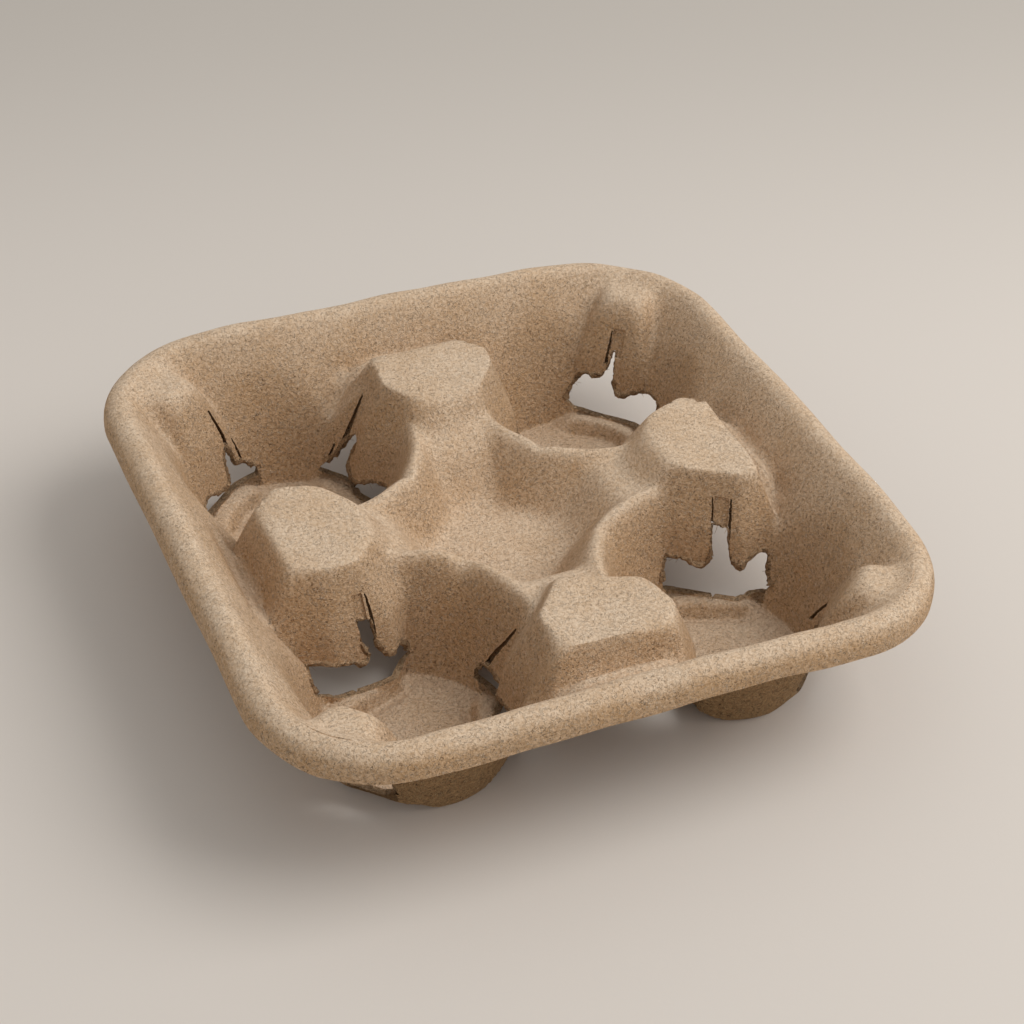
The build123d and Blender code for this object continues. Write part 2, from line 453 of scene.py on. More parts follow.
def bends(climb, run):
    # how much the sheet bends at each step of its lines
    tilt = np.arctan(climb / run)
    return np.abs(np.diff(tilt, axis=1, prepend=tilt[:, :1]))


def spreadStations(startX, startY, endX, endY, count, heightOf):
    # places along straight rays, closer together where the sheet climbs or bends
    def between(share):
        return (startX[:, None] * (1 - share) + endX[:, None] * share,
                startY[:, None] * (1 - share) + endY[:, None] * share)

    t = np.linspace(0, 1, 500)[None, :]
    x, y = between(t)
    climb = np.diff(heightOf(x, y), axis=1)
    step = np.hypot(np.diff(x, axis=1), np.diff(y, axis=1))
    weight = netForm["planWeight"] * step + netForm["climbWeight"] * np.abs(climb)
    weight = weight + netForm["bendWeight"] * bends(climb, step)
    share = atEvenSteps(weight, [t[0]] * len(x), count)
    # neighbouring rays get like spacing
    for _ in range(3):
        share[1:-1] = (share[:-2] + 2 * share[1:-1] + share[2:]) / 4
    share[:, 0], share[:, -1] = 0, 1
    return between(share)


def gradient(heightOf, x, y, step):
    return ((heightOf(x + step, y) - heightOf(x - step, y)) / (2 * step),
            (heightOf(x, y + step) - heightOf(x, y - step)) / (2 * step))


def rimLines(footX, footY):
    # lines across the rim band, from its foot to the lip, square to the rim
    start = insetFrom(footX, footY)
    lineX, lineY = [footX], [footY]
    x, y = footX.copy(), footY.copy()
    for share in np.sin(np.linspace(0, math.pi / 2, 90))[1:]:
        depth = start * (1 - share)
        for _ in range(2):
            inwardX, inwardY = gradient(insetFrom, x, y, netForm["rimStep"])
            size = inwardX ** 2 + inwardY ** 2
            miss = insetFrom(x, y) - depth
            x, y = x - inwardX * miss / size, y - inwardY * miss / size
        lineX.append(x.copy())
        lineY.append(y.copy())
    return np.array(lineX).T, np.array(lineY).T


def spreadAlong(lineX, lineY, count, heightOf):
    run = np.hypot(np.diff(lineX, axis=1), np.diff(lineY, axis=1))
    climb = np.diff(heightOf(lineX, lineY), axis=1)
    weight = np.hypot(run, climb) + netForm["rimBendWeight"] * bends(climb, run)
    return atEvenSteps(weight, lineX, count), atEvenSteps(weight, lineY, count)


def gridFaces(rows, columns, base=0, closedRows=False, closedColumns=False):
    # quads between neighbouring rows and columns of numbered points
    faces = []
    for row in range(rows if closedRows else rows - 1):
        here, below = base + row * columns, base + (row + 1) % rows * columns
        for column in range(columns if closedColumns else columns - 1):
            after = (column + 1) % columns
            faces.append((here + column, here + after, below + after, below + column))
    return faces


def quarterNet(sideX, sideY):
    # plan points and quads of a quarter, as if it were the one with x > 0 and y > 0
    def heightOf(x, y):
        return trayHeight(sideX * x, sideY * y)

    toWall = rimForm["halfWidth"] - netForm["footByMound"] - wellForm["centre"]
    toCorner = math.degrees(math.atan2(toWall, -wellForm["centre"]))
    half = np.concatenate((denserAngles(45, toCorner, netForm["raysToRim"])[:-1],
                           denserAngles(toCorner, 225, netForm["raysToSeam"])))
    hubX, hubY = aroundWell((1, 1), netForm["hub"], half)
    endX, endY = aroundWell((1, 1), rayEnds(half), half)
    endX[netForm["raysToRim"]:] = 0.0
    endY[-1] = 0.0
    x, y = spreadStations(hubX, hubY, endX, endY, netForm["stations"], heightOf)
    # the rays of the other half mirror these about the diagonal
    otherX, otherY = spreadStations(hubY, hubX, endY, endX, netForm["stations"], heightOf)
    fanX = np.concatenate((x, otherX[-2:0:-1]))
    fanY = np.concatenate((y, otherY[-2:0:-1]))
    points = [np.column_stack((fanX.ravel(), fanY.ravel())), np.full((1, 2), wellForm["centre"])]
    rays, columns = fanX.shape
    faces = gridFaces(rays, columns, closedRows=True)
    faces += [(rays * columns, ray * columns, (ray + 1) % rays * columns) for ray in range(rays)]
    # rim band
    toRim = netForm["raysToRim"]
    footX = np.concatenate((y[toRim:0:-1, -1], x[:toRim + 1, -1]))
    footY = np.concatenate((x[toRim:0:-1, -1], y[:toRim + 1, -1]))
    bandX, bandY = spreadAlong(*rimLines(footX, footY), netForm["rimStations"], heightOf)
    faces += gridFaces(*bandX.shape, base=rays * columns + 1)
    points.append(np.column_stack((bandX.ravel(), bandY.ravel())))
    return np.concatenate(points), faces


def turnedUp(points, corners):
    # the face's corners in the order that makes it look up
    area = 0.0
    for here, after in zip(corners, corners[1:] + corners[:1]):
        area += points[here][0] * points[after][1] - points[after][0] * points[here][1]
    return corners if area > 0 else corners[::-1]


def planNet():
    # the four quarters, joined where their points meet
    allPoints, allFaces = [], []
    for sideX in (1, -1):
        for sideY in (1, -1):
            points, faces = quarterNet(sideX, sideY)
            base = sum(len(part) for part in allPoints)
            allPoints.append(points * (sideX, sideY))
            allFaces += [[corner + base for corner in face] for face in faces]
    merged = np.concatenate(allPoints) + 0.0
    keys = np.round(merged / netForm["weld"]).astype(np.int64)
    _, first, place = np.unique(keys, axis=0, return_index=True, return_inverse=True)
    place = place.ravel()
    joined = merged[first]
    kept = [list(dict.fromkeys(int(place[corner]) for corner in face)) for face in allFaces]
    return joined, [turnedUp(joined, corners) for corners in kept if len(corners) > 2]


def openEdges(faces):
    # edges that only one face has, in the order in which they are met
    seen = dict.fromkeys(edge for corners in faces for edge in zip(corners, corners[1:] + corners[:1]))
    return [edge for edge in seen if edge[::-1] not in seen]


def makeSheet():
    plan, faces = planNet()
    x, y = plan[:, 0], plan[:, 1]
    height = trayHeight(x, y)
    slopeX, slopeY = gradient(trayHeight, x, y, netForm["sheetStep"])
    length = np.sqrt(1 + slopeX ** 2 + slopeY ** 2)
    thick = smoothStep(insetFrom(x, y), 0.0, rimForm["lipRun"]) * rimForm["sheet"] / length
    underX, underY = x + slopeX * thick, y + slopeY * thick
    under = underHeight(underX, underY)
    top = np.column_stack((x, y, height))
    bottom = np.column_stack((underX, underY, under))
    count = len(plan)
    lip = openEdges(faces)
    quads = [list(corners) for corners in faces]
    quads += [[corner + count for corner in corners[::-1]] for corners in faces]
    quads += [[after, here, here + count, after + count] for here, after in lip]
    return top, bottom, quads, len(faces)


top, bottom, quads, upperCount = makeSheet()
report(f"sheet of {len(quads)} faces")


def meshFrom(name, points, faces):
    mesh = bpy.data.meshes.new(name)
    mesh.from_pydata([tuple(p) for p in points], [], [tuple(f) for f in faces])
    mesh.update()
    return mesh


# Materials
class Wire:
    # one socket of a shader: arithmetic on it adds Math nodes
    def __init__(self, shader, socket):
        self.shader = shader
        self.socket = socket

    def maths(self, operation, *values):
        return self.shader.add("Math", {"operation": operation}, dict(enumerate(values)))

    def __add__(self, other):
        return self.maths("ADD", self, other)

    def __sub__(self, other):
        return self.maths("SUBTRACT", self, other)

    def __rsub__(self, other):
        return self.maths("SUBTRACT", other, self)

    def __mul__(self, other):
        return self.maths("MULTIPLY", self, other)

    __radd__ = __add__
    __rmul__ = __mul__

    def __abs__(self):
        return self.maths("ABSOLUTE", self)

    def between(self, low, high):
        # 0 below low, 1 above high, smooth between them
        return self.shader.add("MapRange", {"interpolation_type": "SMOOTHSTEP"},
                               {"Value": self, "From Min": low, "From Max": high})


class Shader:
    def __init__(self, name):
        self.material = bpy.data.materials.new(name)
        self.material.use_nodes = True
        self.tree = self.material.node_tree
        self.tree.nodes.clear()

    def add(self, kind, settings=None, inputs=None, output=0):
        node = self.tree.nodes.new("ShaderNode" + kind)
        for key, value in (settings or {}).items():
            setattr(node, key, value)
        for key, value in (inputs or {}).items():
            if isinstance(value, Wire):
                self.tree.links.new(value.socket, node.inputs[key])
            else:
                node.inputs[key].default_value = value
        return Wire(self, node.outputs[output])

    def noise(self, place, scale, detail=2.0, roughness=0.5, distortion=0.0):
        return self.add("TexNoise", {"noise_dimensions": "3D"},
                        {"Vector": place, "Scale": scale, "Detail": detail,
                         "Roughness": roughness, "Distortion": distortion})

    def blend(self, share, first, second):
        return self.add("Mix", {"data_type": "RGBA"}, {0: share, 6: first, 7: second}, output=2)

    def shifted(self, place, offset):
        return self.add("VectorMath", {"operation": "ADD"}, {0: place, 1: offset})

    def surface(self, colour, roughness, height, depth, specular=0.3):
        normal = self.add("Bump", {}, {"Strength": 1.0, "Distance": depth, "Height": height})
        surface = self.add("BsdfPrincipled", {}, {"Base Color": colour, "Roughness": roughness,
                                                  "Specular IOR Level": specular, "Normal": normal})
        out = self.tree.nodes.new("ShaderNodeOutputMaterial")
        self.tree.links.new(surface.socket, out.inputs["Surface"])
        return self.material


def shown(red, green, blue):
    # a colour as a screen shows it, 0 to 255, turned to the light it stands for
    values = [channel / 255 for channel in (red, green, blue)]
    return tuple(v / 12.92 if v <= 0.04045 else ((v + 0.055) / 1.055) ** 2.4 for v in values) + (1.0,)


# The three kinds of surface, in the order of the mesh's material slots: tones, strength of the fibres,
# and depth of the relief in metres
# the steep tone is painted shade for steep walls: a browner dark standing in for the shade and bounced
# light in the wells. The random clouds use it too
pulpForm = {
    "upperPulp": {"light": (242, 218, 190), "middle": (203, 171, 137), "dark": (92, 62, 34),
                  "steep": (196, 146, 86), "fibre": 0.9, "relief": 0.0009},
    "underPulp": {"light": (214, 178, 132), "middle": (170, 130, 86), "dark": (84, 58, 34),
                  "steep": (150, 112, 72), "fibre": 1.2, "relief": 0.0014},
    "tornPulp": {"light": (214, 184, 148), "middle": (158, 122, 86), "dark": (70, 48, 28),
                 "steep": (150, 114, 78), "fibre": 1.5, "relief": 0.0016},
}
surfaceNumber = {name: index for index, name in enumerate(pulpForm)}
# Grain of the pulp: scales are in cells per millimetre, weights are shares of a colour
grainForm = {
    "grainScale": 0.95,
    "fineScale": 2.3,
    "cloudScale": 0.06,
    "speckScale": 0.75,
    "paleSpeckScale": 0.85,
    "paleFibres": ((0.55, 0.035, 1), (0.8, 0.04, 2)),     # scale, width and seed
    "darkFibres": (0.62, 0.03, 3),
    "steepTurn": (0.12, 0.72),    # 0 is level and 1 upright
    # painted shade: how much steep walls take the steep tone, and the dark tone where the grain is low
    "paintedWallShadeWeight": 0.42,
    "paintedWallShadeMottle": 0.36,
    "cloudWeight": 0.18,
    "speckWeight": 0.45,
    "paleSpeckWeight": 0.35,
    "darkWeight": 0.32,
    "paleWeight": 0.28,
    "steepFibres": 1.5,           # walls show more fibres than level faces
    "steepRelief": 0.6,
}


def fibres(shader, place, scale, width, seed):
    # short curly lines: a thin band of a wandering noise, broken up by a second noise
    moved = shader.shifted(place, (seed * 31.0, seed * 17.0, seed * 11.0))
    band = abs(shader.noise(moved, scale, 1.0, 0.5, 0.9) - 0.5)
    line = 1 - band.between(0.0, width)
    broken = shader.noise(moved, scale * 1.7, 1.0).between(0.48, 0.62)
    return line * broken


def specks(shader, place, scale, offset, low):
    return shader.noise(shader.shifted(place, offset), scale, 2.0, 0.6).between(low, 0.74)


def pulpMaterial(name):
    form, g = pulpForm[name], grainForm
    light, middle, dark, wallShadeAndCloudTone = (shown(*form[key]) for key in ("light", "middle", "dark", "steep"))
    shader = Shader(name)
    coordinates = shader.add("TexCoord", output=3)
    place = shader.add("VectorMath", {"operation": "SCALE"}, {0: coordinates, "Scale": 1 / mm})
    normal = shader.add("NewGeometry", output=1)
    upright = shader.add("SeparateXYZ", {}, {0: normal}, output=2)
    steep = (1 - abs(upright)).between(*g["steepTurn"])
    grain = shader.noise(place, g["grainScale"], 4.0, 0.62)
    fine = shader.noise(place, g["fineScale"], 2.0, 0.55)
    cloud = shader.noise(place, g["cloudScale"], 3.0, 0.55)
    first, second = g["paleFibres"]
    paleLines = fibres(shader, place, *first) + fibres(shader, place, *second)
    darkLines = fibres(shader, place, *g["darkFibres"])
    speck = specks(shader, place, g["speckScale"], (40, 9, 3), 0.66)
    paleSpeck = specks(shader, place, g["paleSpeckScale"], (4, 90, 33), 0.64)
    tone = grain.between(0.3, 0.7) * 0.6 + fine.between(0.3, 0.7) * 0.4
    strong = (1 + steep * g["steepFibres"]) * form["fibre"]
    colour = shader.blend(tone, middle, light)
    # painted shade: steep walls are mixed towards the steep tone
    colour = shader.blend(steep * g["paintedWallShadeWeight"], colour, wallShadeAndCloudTone)
    # painted shade: steep walls darken further where the grain is low
    colour = shader.blend((1 - tone) * steep * g["paintedWallShadeMottle"], colour, dark)
    # random clouds of the steep tone, on every face
    colour = shader.blend(cloud.between(0.35, 0.7) * g["cloudWeight"], colour, wallShadeAndCloudTone)
    colour = shader.blend(speck * g["speckWeight"], colour, dark)
    colour = shader.blend(darkLines * strong * g["darkWeight"], colour, dark)
    colour = shader.blend(paleSpeck * g["paleSpeckWeight"], colour, light)
    colour = shader.blend(paleLines * strong * g["paleWeight"], colour, light)
    lines = paleLines * (0.25 * form["fibre"]) - darkLines * (0.2 * form["fibre"])
    relief = (grain * 0.55 + fine * 0.22 + lines - speck * 0.12) * (1 + steep * g["steepRelief"])
    roughness = 0.86 + grain * 0.1
    return shader.surface(colour, roughness, relief, form["relief"])


# Windows: each well's wall is torn through towards the corner and under the two mounds beside it.
# An outline goes round the hole, as pairs of angle (degrees about the well's middle) and height.
windowForm = {
    "step": 0.7,
    "degree": 0.53,          # millimetres along the wall, for each degree
    "wallSearch": (20.0, 52.0, 0.15),      # radii between which a well's wall lies, and their step
    "ragged": 0.55,
    # distances of the cutter's rings from the wall
    "layers": (-9.0, -1.2, -0.3, 0.5, 1.2, 1.9, 2.7, 3.8, 12.0),
    "grooveLayers": (-3.0, -0.6, 0.4, 1.7),
    "stripLayers": (-3.0, -0.6, 0.2, 0.7),
    "lowReach": 44.0,        # the cutter goes out no further than this, and a little further higher up
    "highReach": 47.0,
    "highFrom": 24.0,
    "sillTop": 9.0,          # outline points below this lie along the sill
    "sillDrop": 0.6,
    "sillHeights": (7.2, 9.0),
    "sillHalf": 28,          # degrees, of the generic outline
    "bottom": 7.0,           # of the generic outline
    "calmBelow": 7.5,        # its lowest points keep their heights
    "generic": [(-29, 8.5), (-31, 14), (-27, 20.5), (-18, 22.5), (-10, 21.5), (-9.5, 18.8), (-5, 18.5),
                (-4, 24), (-2.5, 33), (2, 34), (4.5, 24), (5, 19), (9.5, 18.5), (11, 21.5), (19, 22.5),
                (27, 20), (31, 14.5), (29, 8.5), (14, 7), (0, 6.7), (-14, 7)],
    "unevenAngle": 1.6,
    "unevenHeight": 0.8,
}
# the six windows that the front view shows, by well (side in x, side in y)
shownWindows = [
    ((1, -1), [(71, 32.4), (70, 20.4), (73, 18.3), (77, 17.2), (81.5, 17.8), (86, 19.4), (91, 19.1),
               (96, 19.4), (99, 14), (99.5, 8), (88, 6.9), (64, 6.7), (44, 6.9), (31, 8), (28, 11),
               (31.5, 14), (33.5, 18), (34.4, 20.3), (39, 22.7), (45, 20.6), (47.4, 18.7), (52, 20.3),
               (54.5, 22), (57.5, 26), (59.5, 31.6)]),
    ((1, 1), [(43.4, 32.4), (46.4, 24.6), (50, 22.4), (55, 21.2), (58, 22.3), (63, 21.4), (69.5, 15),
              (73, 10.5), (66, 7.6), (54, 6.9), (42, 6.8), (28, 6.9), (14, 7.4), (6, 10), (4, 15), (6, 20),
              (16, 20.9), (25.7, 18.9), (31, 16.8), (36, 16.6), (39.2, 19.3), (40.6, 25), (41.6, 31.9)]),
    ((-1, 1), [(117.5, 24), (121.5, 23.6), (123, 17.5), (120.5, 11), (124, 9.2), (133, 9.9), (141, 12),
               (149, 13.6), (157, 12), (160, 9), (152, 7.2), (122, 6.7), (106, 6.9), (96, 7.4), (94.5, 8.6),
               (98, 11.2), (104, 13.4), (108.5, 13.6), (111, 16.5), (114.5, 20)]),
    ((-1, 1), [(29, 25.5), (33, 23.5), (37.1, 20.7), (39.8, 17.7), (43.6, 13.6), (46.5, 12.5), (50, 9.8),
               (54, 7.6), (45, 7), (30, 6.8), (14, 6.8), (0, 7), (-9, 9), (-12, 14), (-8, 16.5),
               (-3.3, 15.6), (0.6, 15.4), (5.3, 14.5), (12, 12.4), (17.8, 10.9), (23, 9.4), (27.9, 9),
               (31.6, 9.8), (33, 12), (31.7, 16), (28, 20), (25, 23.8)]),
    ((-1, -1), [(108.5, 31.2), (108.3, 27), (106.4, 21.9), (102.5, 18), (105, 16.6), (109, 16.2),
                (114, 17.8), (121, 18.2), (132, 19.7), (137, 18.5), (141, 15), (139, 9), (126, 6.9),
                (108, 6.7), (90, 6.8), (74, 7.4), (67.5, 9), (71, 13.1), (76, 17.4), (82.6, 16.3),
                (88.3, 17.8), (93, 20.7), (95.5, 24), (97.5, 30.8)]),
    ((-1, -1), [(26, 7), (27, 9), (25, 11), (21, 12.8), (17, 12.4), (10, 11.5), (3, 12), (-5, 13),
                (-13, 14.4), (-21, 15.6), (-30, 17), (-38, 18), (-45, 15), (-46, 11), (-42, 8),
                (-24, 6.9), (-2, 6.8)]),
]
# windows that the view hides or shows edge on: well, direction in degrees, and size
plainWindows = [((1, 1), 160, 1.0), ((1, 1), -70, 1.0), ((1, -1), -45, 0.8), ((1, -1), -160, 1.0),
                ((-1, 1), -110, 1.0), ((-1, -1), -135, 0.55)]
# strips pressed into the walls over the windows: well, angles of their edges and heights
strips = [
    ((1, -1), (60.5, 70.5), (30, 41)),
    ((1, 1), (37.5, 46), (30, 40)),
    ((-1, -1), (100, 109), (29, 39)),
]
# slits: well, width at the lower end, and the line from the top down
slits = [
    ((1, -1), 1.8, [(-31, 37), (-22, 26), (-12, 15), (-9, 11)]),
    ((-1, 1), 2.4, [(124.3, 38), (121.5, 32), (118.8, 27), (117, 22)]),
    ((-1, 1), 1.2, [(109.5, 23), (107, 18.5), (104.5, 12)]),
    ((-1, 1), 2.2, [(31, 38), (33, 32), (35.5, 26), (38, 20)]),
    ((-1, 1), 1.4, [(44, 18), (46, 14.5), (48, 11)]),
    ((-1, -1), 2.0, [(98.9, 38.5), (97.5, 34), (96.6, 29), (96.2, 24)]),
    ((1, -1), 1.5, [(60.2, 41), (59.4, 36), (58.6, 28)]),
    ((1, -1), 1.0, [(70.8, 40.5), (70.6, 36), (70.2, 30)]),
    ((-1, -1), 2.2, [(6, 31), (11, 24), (16, 18), (20, 12)]),
    ((1, 1), 2.0, [(157, 42), (158.5, 35), (160, 27), (160, 22)]),
    ((1, 1), 1.3, [(46.3, 39), (46.6, 34), (47, 27)]),
]


def wallRadii(well, angles, heights):
    # distance from the well's middle to its wall, at each angle and height
    radii = np.arange(*windowForm["wallSearch"])[None, :]
    x, y = aroundWell(well, radii, angles[:, None])
    reached = trayHeight(x, y) >= heights[:, None]
    reached[:, -1] = True
    return radii[0][np.argmax(reached, axis=1)]


def evenly(outline, step):
    # angles and heights at even steps round a closed outline
    line = np.array(outline + outline[:1], float)
    run = np.hypot(np.diff(line[:, 0]) * windowForm["degree"], np.diff(line[:, 1]))
    total = np.concatenate(([0], np.cumsum(run)))
    wanted = np.linspace(0, total[-1], int(total[-1] / step) + 1)[:-1]
    return np.interp(wanted, total, line[:, 0]), np.interp(wanted, total, line[:, 1])


tearForm = {
    "grain": 1.5,            # size of the tear's waves
    "radius": 30.0,          # of a well's wall, about
    "ringShift": 0.35,       # how much the waves change from one ring of the cutter to the next
    "seedShift": 7.7,
    "fineScale": 2.9,
    "fineShare": 0.6,
    "calm": 0.2,             # share of the waves that is left along the sill
    "calmHeights": (7.5, 10.5),
}


def torn(angles, heights, radii, ring, seed, amount):
    # the tear wanders along the edge and through the sheet's thickness
    t = tearForm
    movedAngles, movedHeights = angles.copy(), heights.copy()
    strength = amount * (smoothStep(heights, *t["calmHeights"]) * (1 - t["calm"]) + t["calm"])
    for index, (angle, height) in enumerate(zip(angles, heights)):
        along = math.radians(angle) * t["radius"]
        layer = ring * t["ringShift"] + seed * t["seedShift"]
        place = Vector((along / t["grain"], height / t["grain"], layer))
        wander = noise.noise_vector(place) + noise.noise_vector(place * t["fineScale"]) * t["fineShare"]
        movedAngles[index] += math.degrees(wander.x * strength[index] / radii[index])
        movedHeights[index] += wander.y * strength[index]
    return movedAngles, movedHeights


def addCutter(name, points, faces, finish="tornPulp"):
    mesh = meshFrom(name, np.array(points) * mm, faces)
    for material in trayMesh.materials:
        mesh.materials.append(material)
    for face in mesh.polygons:
        face.material_index = surfaceNumber[finish]
    return addObject(name, mesh)


def cappedRings(rings, count, flipped):
    # faces of a closed body that is made of rings of points
    last = (rings - 1) * count
    faces = [tuple(range(count))[::-1], tuple(range(last, last + count))]
    faces += gridFaces(rings, count, closedColumns=True)
    return [face[::-1] for face in faces] if flipped else faces


def makeCutter(name, well, angles, heights, seed, amount, layers, finish="tornPulp"):
    # a plug through the wall, with rings of points at the given distances from the wall's face
    w = windowForm
    radii = wallRadii(well, angles, heights)
    for _ in range(3):
        radii = (np.roll(radii, 1) + 2 * radii + np.roll(radii, -1)) / 4
    heights = heights - w["sillDrop"] * (1 - smoothStep(heights, *w["sillHeights"]))
    furthest = np.where(heights > w["highFrom"], w["highReach"], w["lowReach"])
    points = []
    for ring, layer in enumerate(layers):
        ringAngles, ringHeights = torn(angles, heights, radii, ring, seed, amount)
        x, y = aroundWell(well, np.minimum(radii + layer, furthest), ringAngles)
        points.append(np.column_stack((x, y, ringHeights)))
    clockwise = np.sum(angles * np.roll(heights, -1) - np.roll(angles, -1) * heights) < 0
    faces = cappedRings(len(points), len(angles), clockwise)
    return addCutter(name, np.concatenate(points), faces, finish)


sillForm = {
    "edge": 1.8,             # how far the sheet runs on beyond the kerb's radius
    "perDegree": 0.8,
    # the cutter's section, outwards and up: its first corners face the kerb and are ragged
    "section": [(0, -2.0), (0, 1.0), (0.15, 2.5), (0, 4.0), (0.1, 5.5), (0, 10.0), (20, 10.0), (20, -2.0)],
    "raggedCorners": 6,
    "alongShift": 0.35,
    "cornerShift": 0.7,
    "seedShift": 5.3,
}


def makeSillCutter(name, well, fromAngle, toAngle, seed):
    # takes away the wall's foot beyond the kerb, so that the kerb is the window's sill
    s = sillForm
    angles = np.linspace(fromAngle, toAngle, int((toAngle - fromAngle) * s["perDegree"]))
    cornerAngle = math.degrees(math.atan2(well[1], well[0]))
    turn = np.abs((angles - cornerAngle + 180) % 360 - 180)
    inner = kerbRadiusAt(turn) + s["edge"]
    points = []
    for index, (angle, radius) in enumerate(zip(angles, inner)):
        for corner, (out, height) in enumerate(s["section"]):
            layer = seed * s["seedShift"] + corner * s["cornerShift"]
            place = Vector((index * s["alongShift"], layer, 0.0))
            wander = noise.noise(place) * windowForm["ragged"] * (corner < s["raggedCorners"])
            points.append((*leaned(*aroundWell(well, radius + out + wander, angle)), height))
    faces = cappedRings(len(angles), len(s["section"]), True)
    # the corner a quad starts at decides which way it is split
    faces[2:] = [face[-1:] + face[:-1] for face in faces[2:]]
    return addCutter(name, points, faces)


slitForm = {
    "topShare": 0.35,        # a slit's top is this share of its width
    "radius": 33.0,          # of a well's wall, about
    "ragged": 0.25,
    "stripRagged": 0.12,
    "stripStep": 1.0,
}


def slitOutline(width, line):
    angles, heights = np.array(line, float).T
    share = np.linspace(slitForm["topShare"], 1.0, len(angles))
    halfAngles = np.degrees(share * width / 2 / slitForm["radius"])
    left = list(zip(angles + halfAngles, heights))
    right = list(zip(angles - halfAngles, heights))
    return left + right[::-1]


def tube(points, radii, sides, grain, rough, seed):
    # a closed, lumpy tube along a line of points
    points = np.array(points)
    ahead = np.gradient(points, axis=0)
    ahead /= np.linalg.norm(ahead, axis=1)[:, None] + 1e-9
    vertices = [tuple(points[0])]
    for point, direction, radius in zip(points, ahead, radii):
        first = np.cross(direction, (0.31, 0.17, 0.93))        # a direction that no line keeps to
        first /= np.linalg.norm(first)
        second = np.cross(direction, first)
        for side in range(sides):
            turn = 2 * math.pi * side / sides
            place = point + radius * (math.cos(turn) * first + math.sin(turn) * second)
            lump = noise.noise_vector(Vector(place) / grain + Vector((seed * 3.7, 0, 0))) * rough
            vertices.append((place[0] + lump.x, place[1] + lump.y, place[2] + lump.z))
    vertices.append(tuple(points[-1]))
    faces = gridFaces(len(points), sides, base=1, closedColumns=True)
    end = len(vertices) - 1
    for side in range(sides):
        after = (side + 1) % sides
        faces.append((0, 1 + after, 1 + side))
        faces.append((end - sides + side, end - sides + after, end))
    return vertices, faces


# Frayed edges: a rolled, lumpy edge round each window above its sill, and short hairs
frayForm = {
    "from": 10.5,            # height above which the edge is rolled
    "outward": 0.6,
    "radius": 1.0,
    "uneven": 0.35,
    "unevenSize": 2.6,
    "seedShift": 2.1,
    "tabExtra": 0.8,         # thicker where a torn tab hangs down
    "tabHang": 1.6,
    "tabReach": 4,
    "slotThinning": 0.6,     # thinner in the narrow slots above the windows
    "slotHeights": (21, 25),
    "sides": 7,
    "grain": 1.0,
    "rough": 0.6,
    "hairs": 16,
    "hairLength": (1.4, 3.2),
    "hairCurl": 0.5,
    "hairRadii": (0.11, 0.05),
    "hairPoints": 6,
}


def rolledLine(well, angles, heights):
    # the window's edge above its sill, as heights and points in space
    radii = wallRadii(well, angles, heights)
    lowest = int(np.argmin(heights))
    angles, heights, radii = (np.roll(values, -lowest) for values in (angles, heights, radii))
    high = np.flatnonzero(heights > frayForm["from"])
    run = slice(high[0], high[-1] + 1)
    angles, heights, radii = angles[run], heights[run], radii[run] + frayForm["outward"]
    line = np.column_stack((*aroundWell(well, radii, angles), heights))
    for _ in range(2):
        line[1:-1] = (line[:-2] + 2 * line[1:-1] + line[2:]) / 4
    return heights, line


def frayWindow(well, angles, heights, seed, rng):
    f = frayForm
    heights, line = rolledLine(well, angles, heights)
    reach = f["tabReach"]
    padded = np.pad(heights, reach, mode="edge")
    hang = (padded[2 * reach:] + padded[:-2 * reach]) / 2 - heights
    hang = np.clip(hang, 0, f["tabHang"]) / f["tabHang"]
    thick = []
    for point, share in zip(line, hang):
        wander = noise.noise(Vector(point) / f["unevenSize"] + Vector((0, 0, seed * f["seedShift"])))
        slot = 1 - f["slotThinning"] * smoothStep(point[2], *f["slotHeights"])
        thick.append((f["radius"] + f["uneven"] * wander + f["tabExtra"] * share) * slot)
    parts = [tube(line, thick, f["sides"], f["grain"], f["rough"], seed)]
    for _ in range(f["hairs"]):
        start = line[rng.integers(len(line))]
        direction = rng.normal(size=3) * (1, 1, 0.7) - (0, 0, 0.5)        # most hairs point down
        direction /= np.linalg.norm(direction)
        curl = rng.normal(size=3)
        length = rng.uniform(*f["hairLength"])
        steps = np.linspace(0, 1, f["hairPoints"])[:, None]
        hair = start + steps * length * direction + steps ** 2 * curl * f["hairCurl"]
        parts.append(tube(hair, np.linspace(*f["hairRadii"], f["hairPoints"]), 3, 1.0, 0.0, 0))
    return parts


def plainOutline(direction, size, rng):
    # the generic outline, turned to its place and a little uneven
    w = windowForm
    outline = []
    for angle, height in w["generic"]:
        turned = direction + angle * size + rng.normal() * w["unevenAngle"]
        uneven = rng.normal() * w["unevenHeight"] * (height > w["calmBelow"])
        outline.append((turned, w["bottom"] + (height - w["bottom"]) * size + uneven))
    return outline


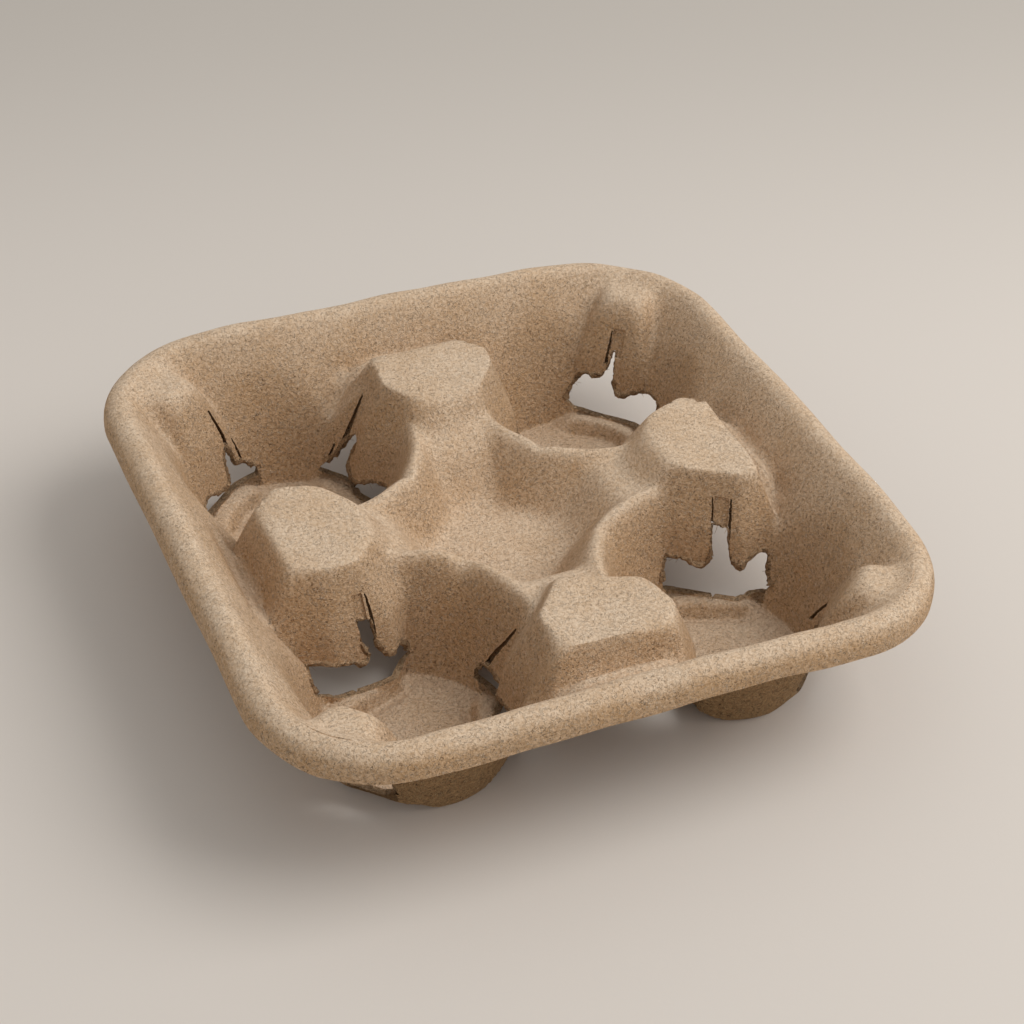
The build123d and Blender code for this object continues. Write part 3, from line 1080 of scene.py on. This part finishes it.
def makeCutters():
    w, s = windowForm, slitForm
    rng = np.random.default_rng(7)
    plainSeed, slitSeed, stripSeed = 9, 20, 30
    cutters, outlines = [], []

    def cut(name, well, outline, seed, amount, layers, step=w["step"], finish="tornPulp"):
        angles, heights = evenly(outline, step)
        cutters.append(makeCutter(name, well, angles, heights, seed, amount, layers, finish))
        return well, angles, heights

    def window(kind, index, well, outline, seed, sill):
        outlines.append(cut(f"{kind}Window{index}", well, outline, seed, w["ragged"], w["layers"]))
        cutters.append(makeSillCutter(f"{kind}Sill{index}", well, *sill, seed))

    for index, (well, outline) in enumerate(shownWindows):
        low = [angle for angle, height in outline if height < w["sillTop"]]
        window("shown", index, well, outline, index, (min(low), max(low)))
    for index, (well, direction, size) in enumerate(plainWindows):
        half = w["sillHalf"] * size
        window("plain", index, well, plainOutline(direction, size, rng), index + plainSeed,
               (direction - half, direction + half))
    for index, (well, width, line) in enumerate(slits):
        cut(f"slit{index}", well, slitOutline(width, line), index + slitSeed, s["ragged"],
            w["grooveLayers"])
    for index, (well, (left, right), (low, high)) in enumerate(strips):
        corners = [(left, low), (right, low), (right - 0.5, high), (left + 0.7, high)]
        cut(f"strip{index}", well, corners, index + stripSeed, s["stripRagged"], w["stripLayers"],
            s["stripStep"], "upperPulp")
    return cutters, outlines


def cutWindows(piece, cutters):
    for cutter in cutters:
        step = piece.modifiers.new(cutter.name, "BOOLEAN")
        step.operation = "DIFFERENCE"
        step.solver = "MANIFOLD"
        step.object = cutter
    settled = piece.evaluated_get(bpy.context.evaluated_depsgraph_get())
    mesh = bpy.data.meshes.new_from_object(settled)
    piece.modifiers.clear()
    piece.data = mesh
    for cutter in cutters:
        bpy.data.objects.remove(cutter)


trayMesh = meshFrom("cupCarrier", np.concatenate((top, bottom)) * mm, quads)
for index, face in enumerate(trayMesh.polygons):
    face.use_smooth = True
    under = upperCount <= index < 2 * upperCount
    face.material_index = surfaceNumber["underPulp" if under else "upperPulp"]
for name in pulpForm:
    trayMesh.materials.append(pulpMaterial(name))
tray = addObject("cupCarrier", trayMesh)
cutters, outlines = makeCutters()
cutWindows(tray, cutters)
report("windows torn")


def addFrayed(mesh, outlines):
    # joins the frayed edges to the tray's own mesh
    rng = np.random.default_rng(23)
    joined = bmesh.new()
    joined.from_mesh(mesh)
    for index, outline in enumerate(outlines):
        for vertices, faces in frayWindow(*outline, index, rng):
            added = [joined.verts.new(Vector(vertex) * mm) for vertex in vertices]
            for corners in faces:
                face = joined.faces.new([added[corner] for corner in corners])
                face.material_index = surfaceNumber["tornPulp"]
                face.smooth = True
    joined.to_mesh(mesh)
    joined.free()


addFrayed(tray.data, outlines)
tray.data.name = "cupCarrier"
tray.data.set_sharp_from_angle(angle=math.radians(50))
report(f"edges frayed, {sum(len(face.vertices) - 2 for face in tray.data.polygons)} triangles")


# Floor and light
stageForm = {
    "floorTone": (222, 213, 203),
    "farShadeTone": (196, 188, 178),
    "away": (0.30, 0.954, 0.0),     # direction over the floor in which painted shade darkens it, standing in for the lamp's light falling off
    "farStretch": (0.08, 0.50),     # metres from the tray's middle
    "sky": 0.52,
    "key": 16.2,
    "keySize": 1.2,
    "keyTurn": -22,          # degrees about +Z, 0 stands at +X
    "keyLift": 50,
    "keyDistance": 1.7,
}


def makeStage():
    mesh = meshFrom("floor", [(-3, -3, 0), (3, -3, 0), (3, 3, 0), (-3, 3, 0)], [(0, 1, 2, 3)])
    addObject("floor", mesh)
    shader = Shader("floorPaper")
    coordinates = shader.add("TexCoord", output=3)
    speck = shader.noise(coordinates, 900.0, 2.0, 0.6)
    away = shader.add("VectorMath", {"operation": "DOT_PRODUCT"}, {0: coordinates, 1: stageForm["away"]},
                      output=1)
    # painted shade: the floor's colour darkens away from the lamp, towards the far shade tone
    tone = shader.blend(away.between(*stageForm["farStretch"]), shown(*stageForm["floorTone"]),
                        shown(*stageForm["farShadeTone"]))
    mesh.materials.append(shader.surface(tone, 0.8, speck, 0.00002))
    world = bpy.data.worlds.new("softSky")
    world.use_nodes = True
    sky = world.node_tree.nodes["Background"]
    sky.inputs["Color"].default_value = (1, 1, 1, 1)
    sky.inputs["Strength"].default_value = stageForm["sky"]
    bpy.context.scene.world = world
    lamp = bpy.data.lights.new("keyLight", "AREA")
    lamp.size = stageForm["keySize"]
    lamp.energy = stageForm["key"]
    key = addObject("keyLight", lamp)
    turn, lift = math.radians(stageForm["keyTurn"]), math.radians(stageForm["keyLift"])
    place = Vector((math.cos(turn) * math.cos(lift), math.sin(turn) * math.cos(lift), math.sin(lift)))
    place *= stageForm["keyDistance"]
    key.matrix_world = Matrix.Translation(place) @ place.to_track_quat("Z", "Y").to_matrix().to_4x4()
    bpy.context.scene.view_settings.view_transform = "Standard"


makeStage()

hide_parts("tray")
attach(tray, "root")

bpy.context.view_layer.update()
report("done")
